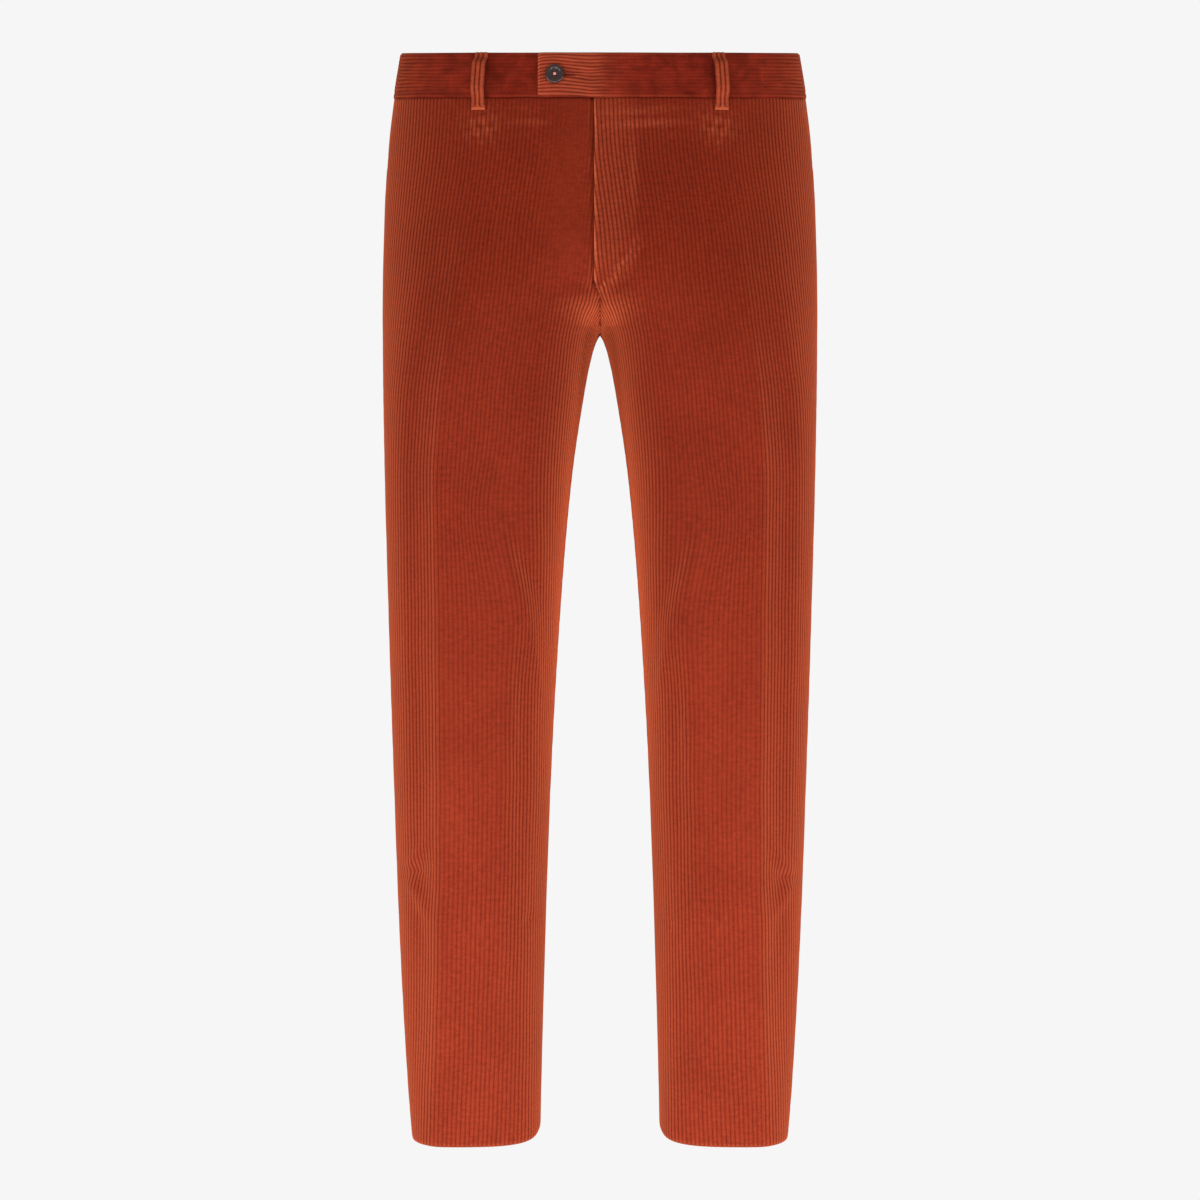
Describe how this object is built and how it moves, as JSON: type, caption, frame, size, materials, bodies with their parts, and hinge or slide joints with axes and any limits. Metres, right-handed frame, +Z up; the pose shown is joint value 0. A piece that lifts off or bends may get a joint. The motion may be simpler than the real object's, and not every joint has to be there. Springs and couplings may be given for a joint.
{
  "type": "corduroy trousers",
  "caption": "Wide-wale corduroy trousers, filled out upright: waistband with button tab and belt loops, fly front, slant pockets, straight legs open at waist and hems.",
  "frame": {"origin": "middle of the waist opening, level with the top of the side seams, where the wearer's waist holds the trousers up", "axes": "+Z up through the waist opening, +X to the wearer's left, -Y to the front"},
  "size_m": [0.4188, 0.2327, 1.0701],
  "materials": {
    "corduroy": "rust-red wide-wale cotton corduroy, brushed pile",
    "zip_tape": "woven tape, dark rust",
    "slider_metal": "satin",
    "button_resin": "dark brown horn-look resin, polished rim"
  },
  "bodies": {
    "root": {"front_left": "corduroy", "front_right": "corduroy", "back_left": "corduroy", "back_right": "corduroy", "waistband_left": "corduroy", "waistband_right": "corduroy", "pocket_facing_left": "corduroy", "pocket_facing_right": "corduroy", "fly_shield": "corduroy", "belt_loop_1": "corduroy", "belt_loop_2": "corduroy", "belt_loop_3": "corduroy", "belt_loop_4": "corduroy", "belt_loop_5": "corduroy", "fly_zip": "zip_tape", "zip_slider": "slider_metal", "button": "button_resin"}
  },
  "joints": []
}
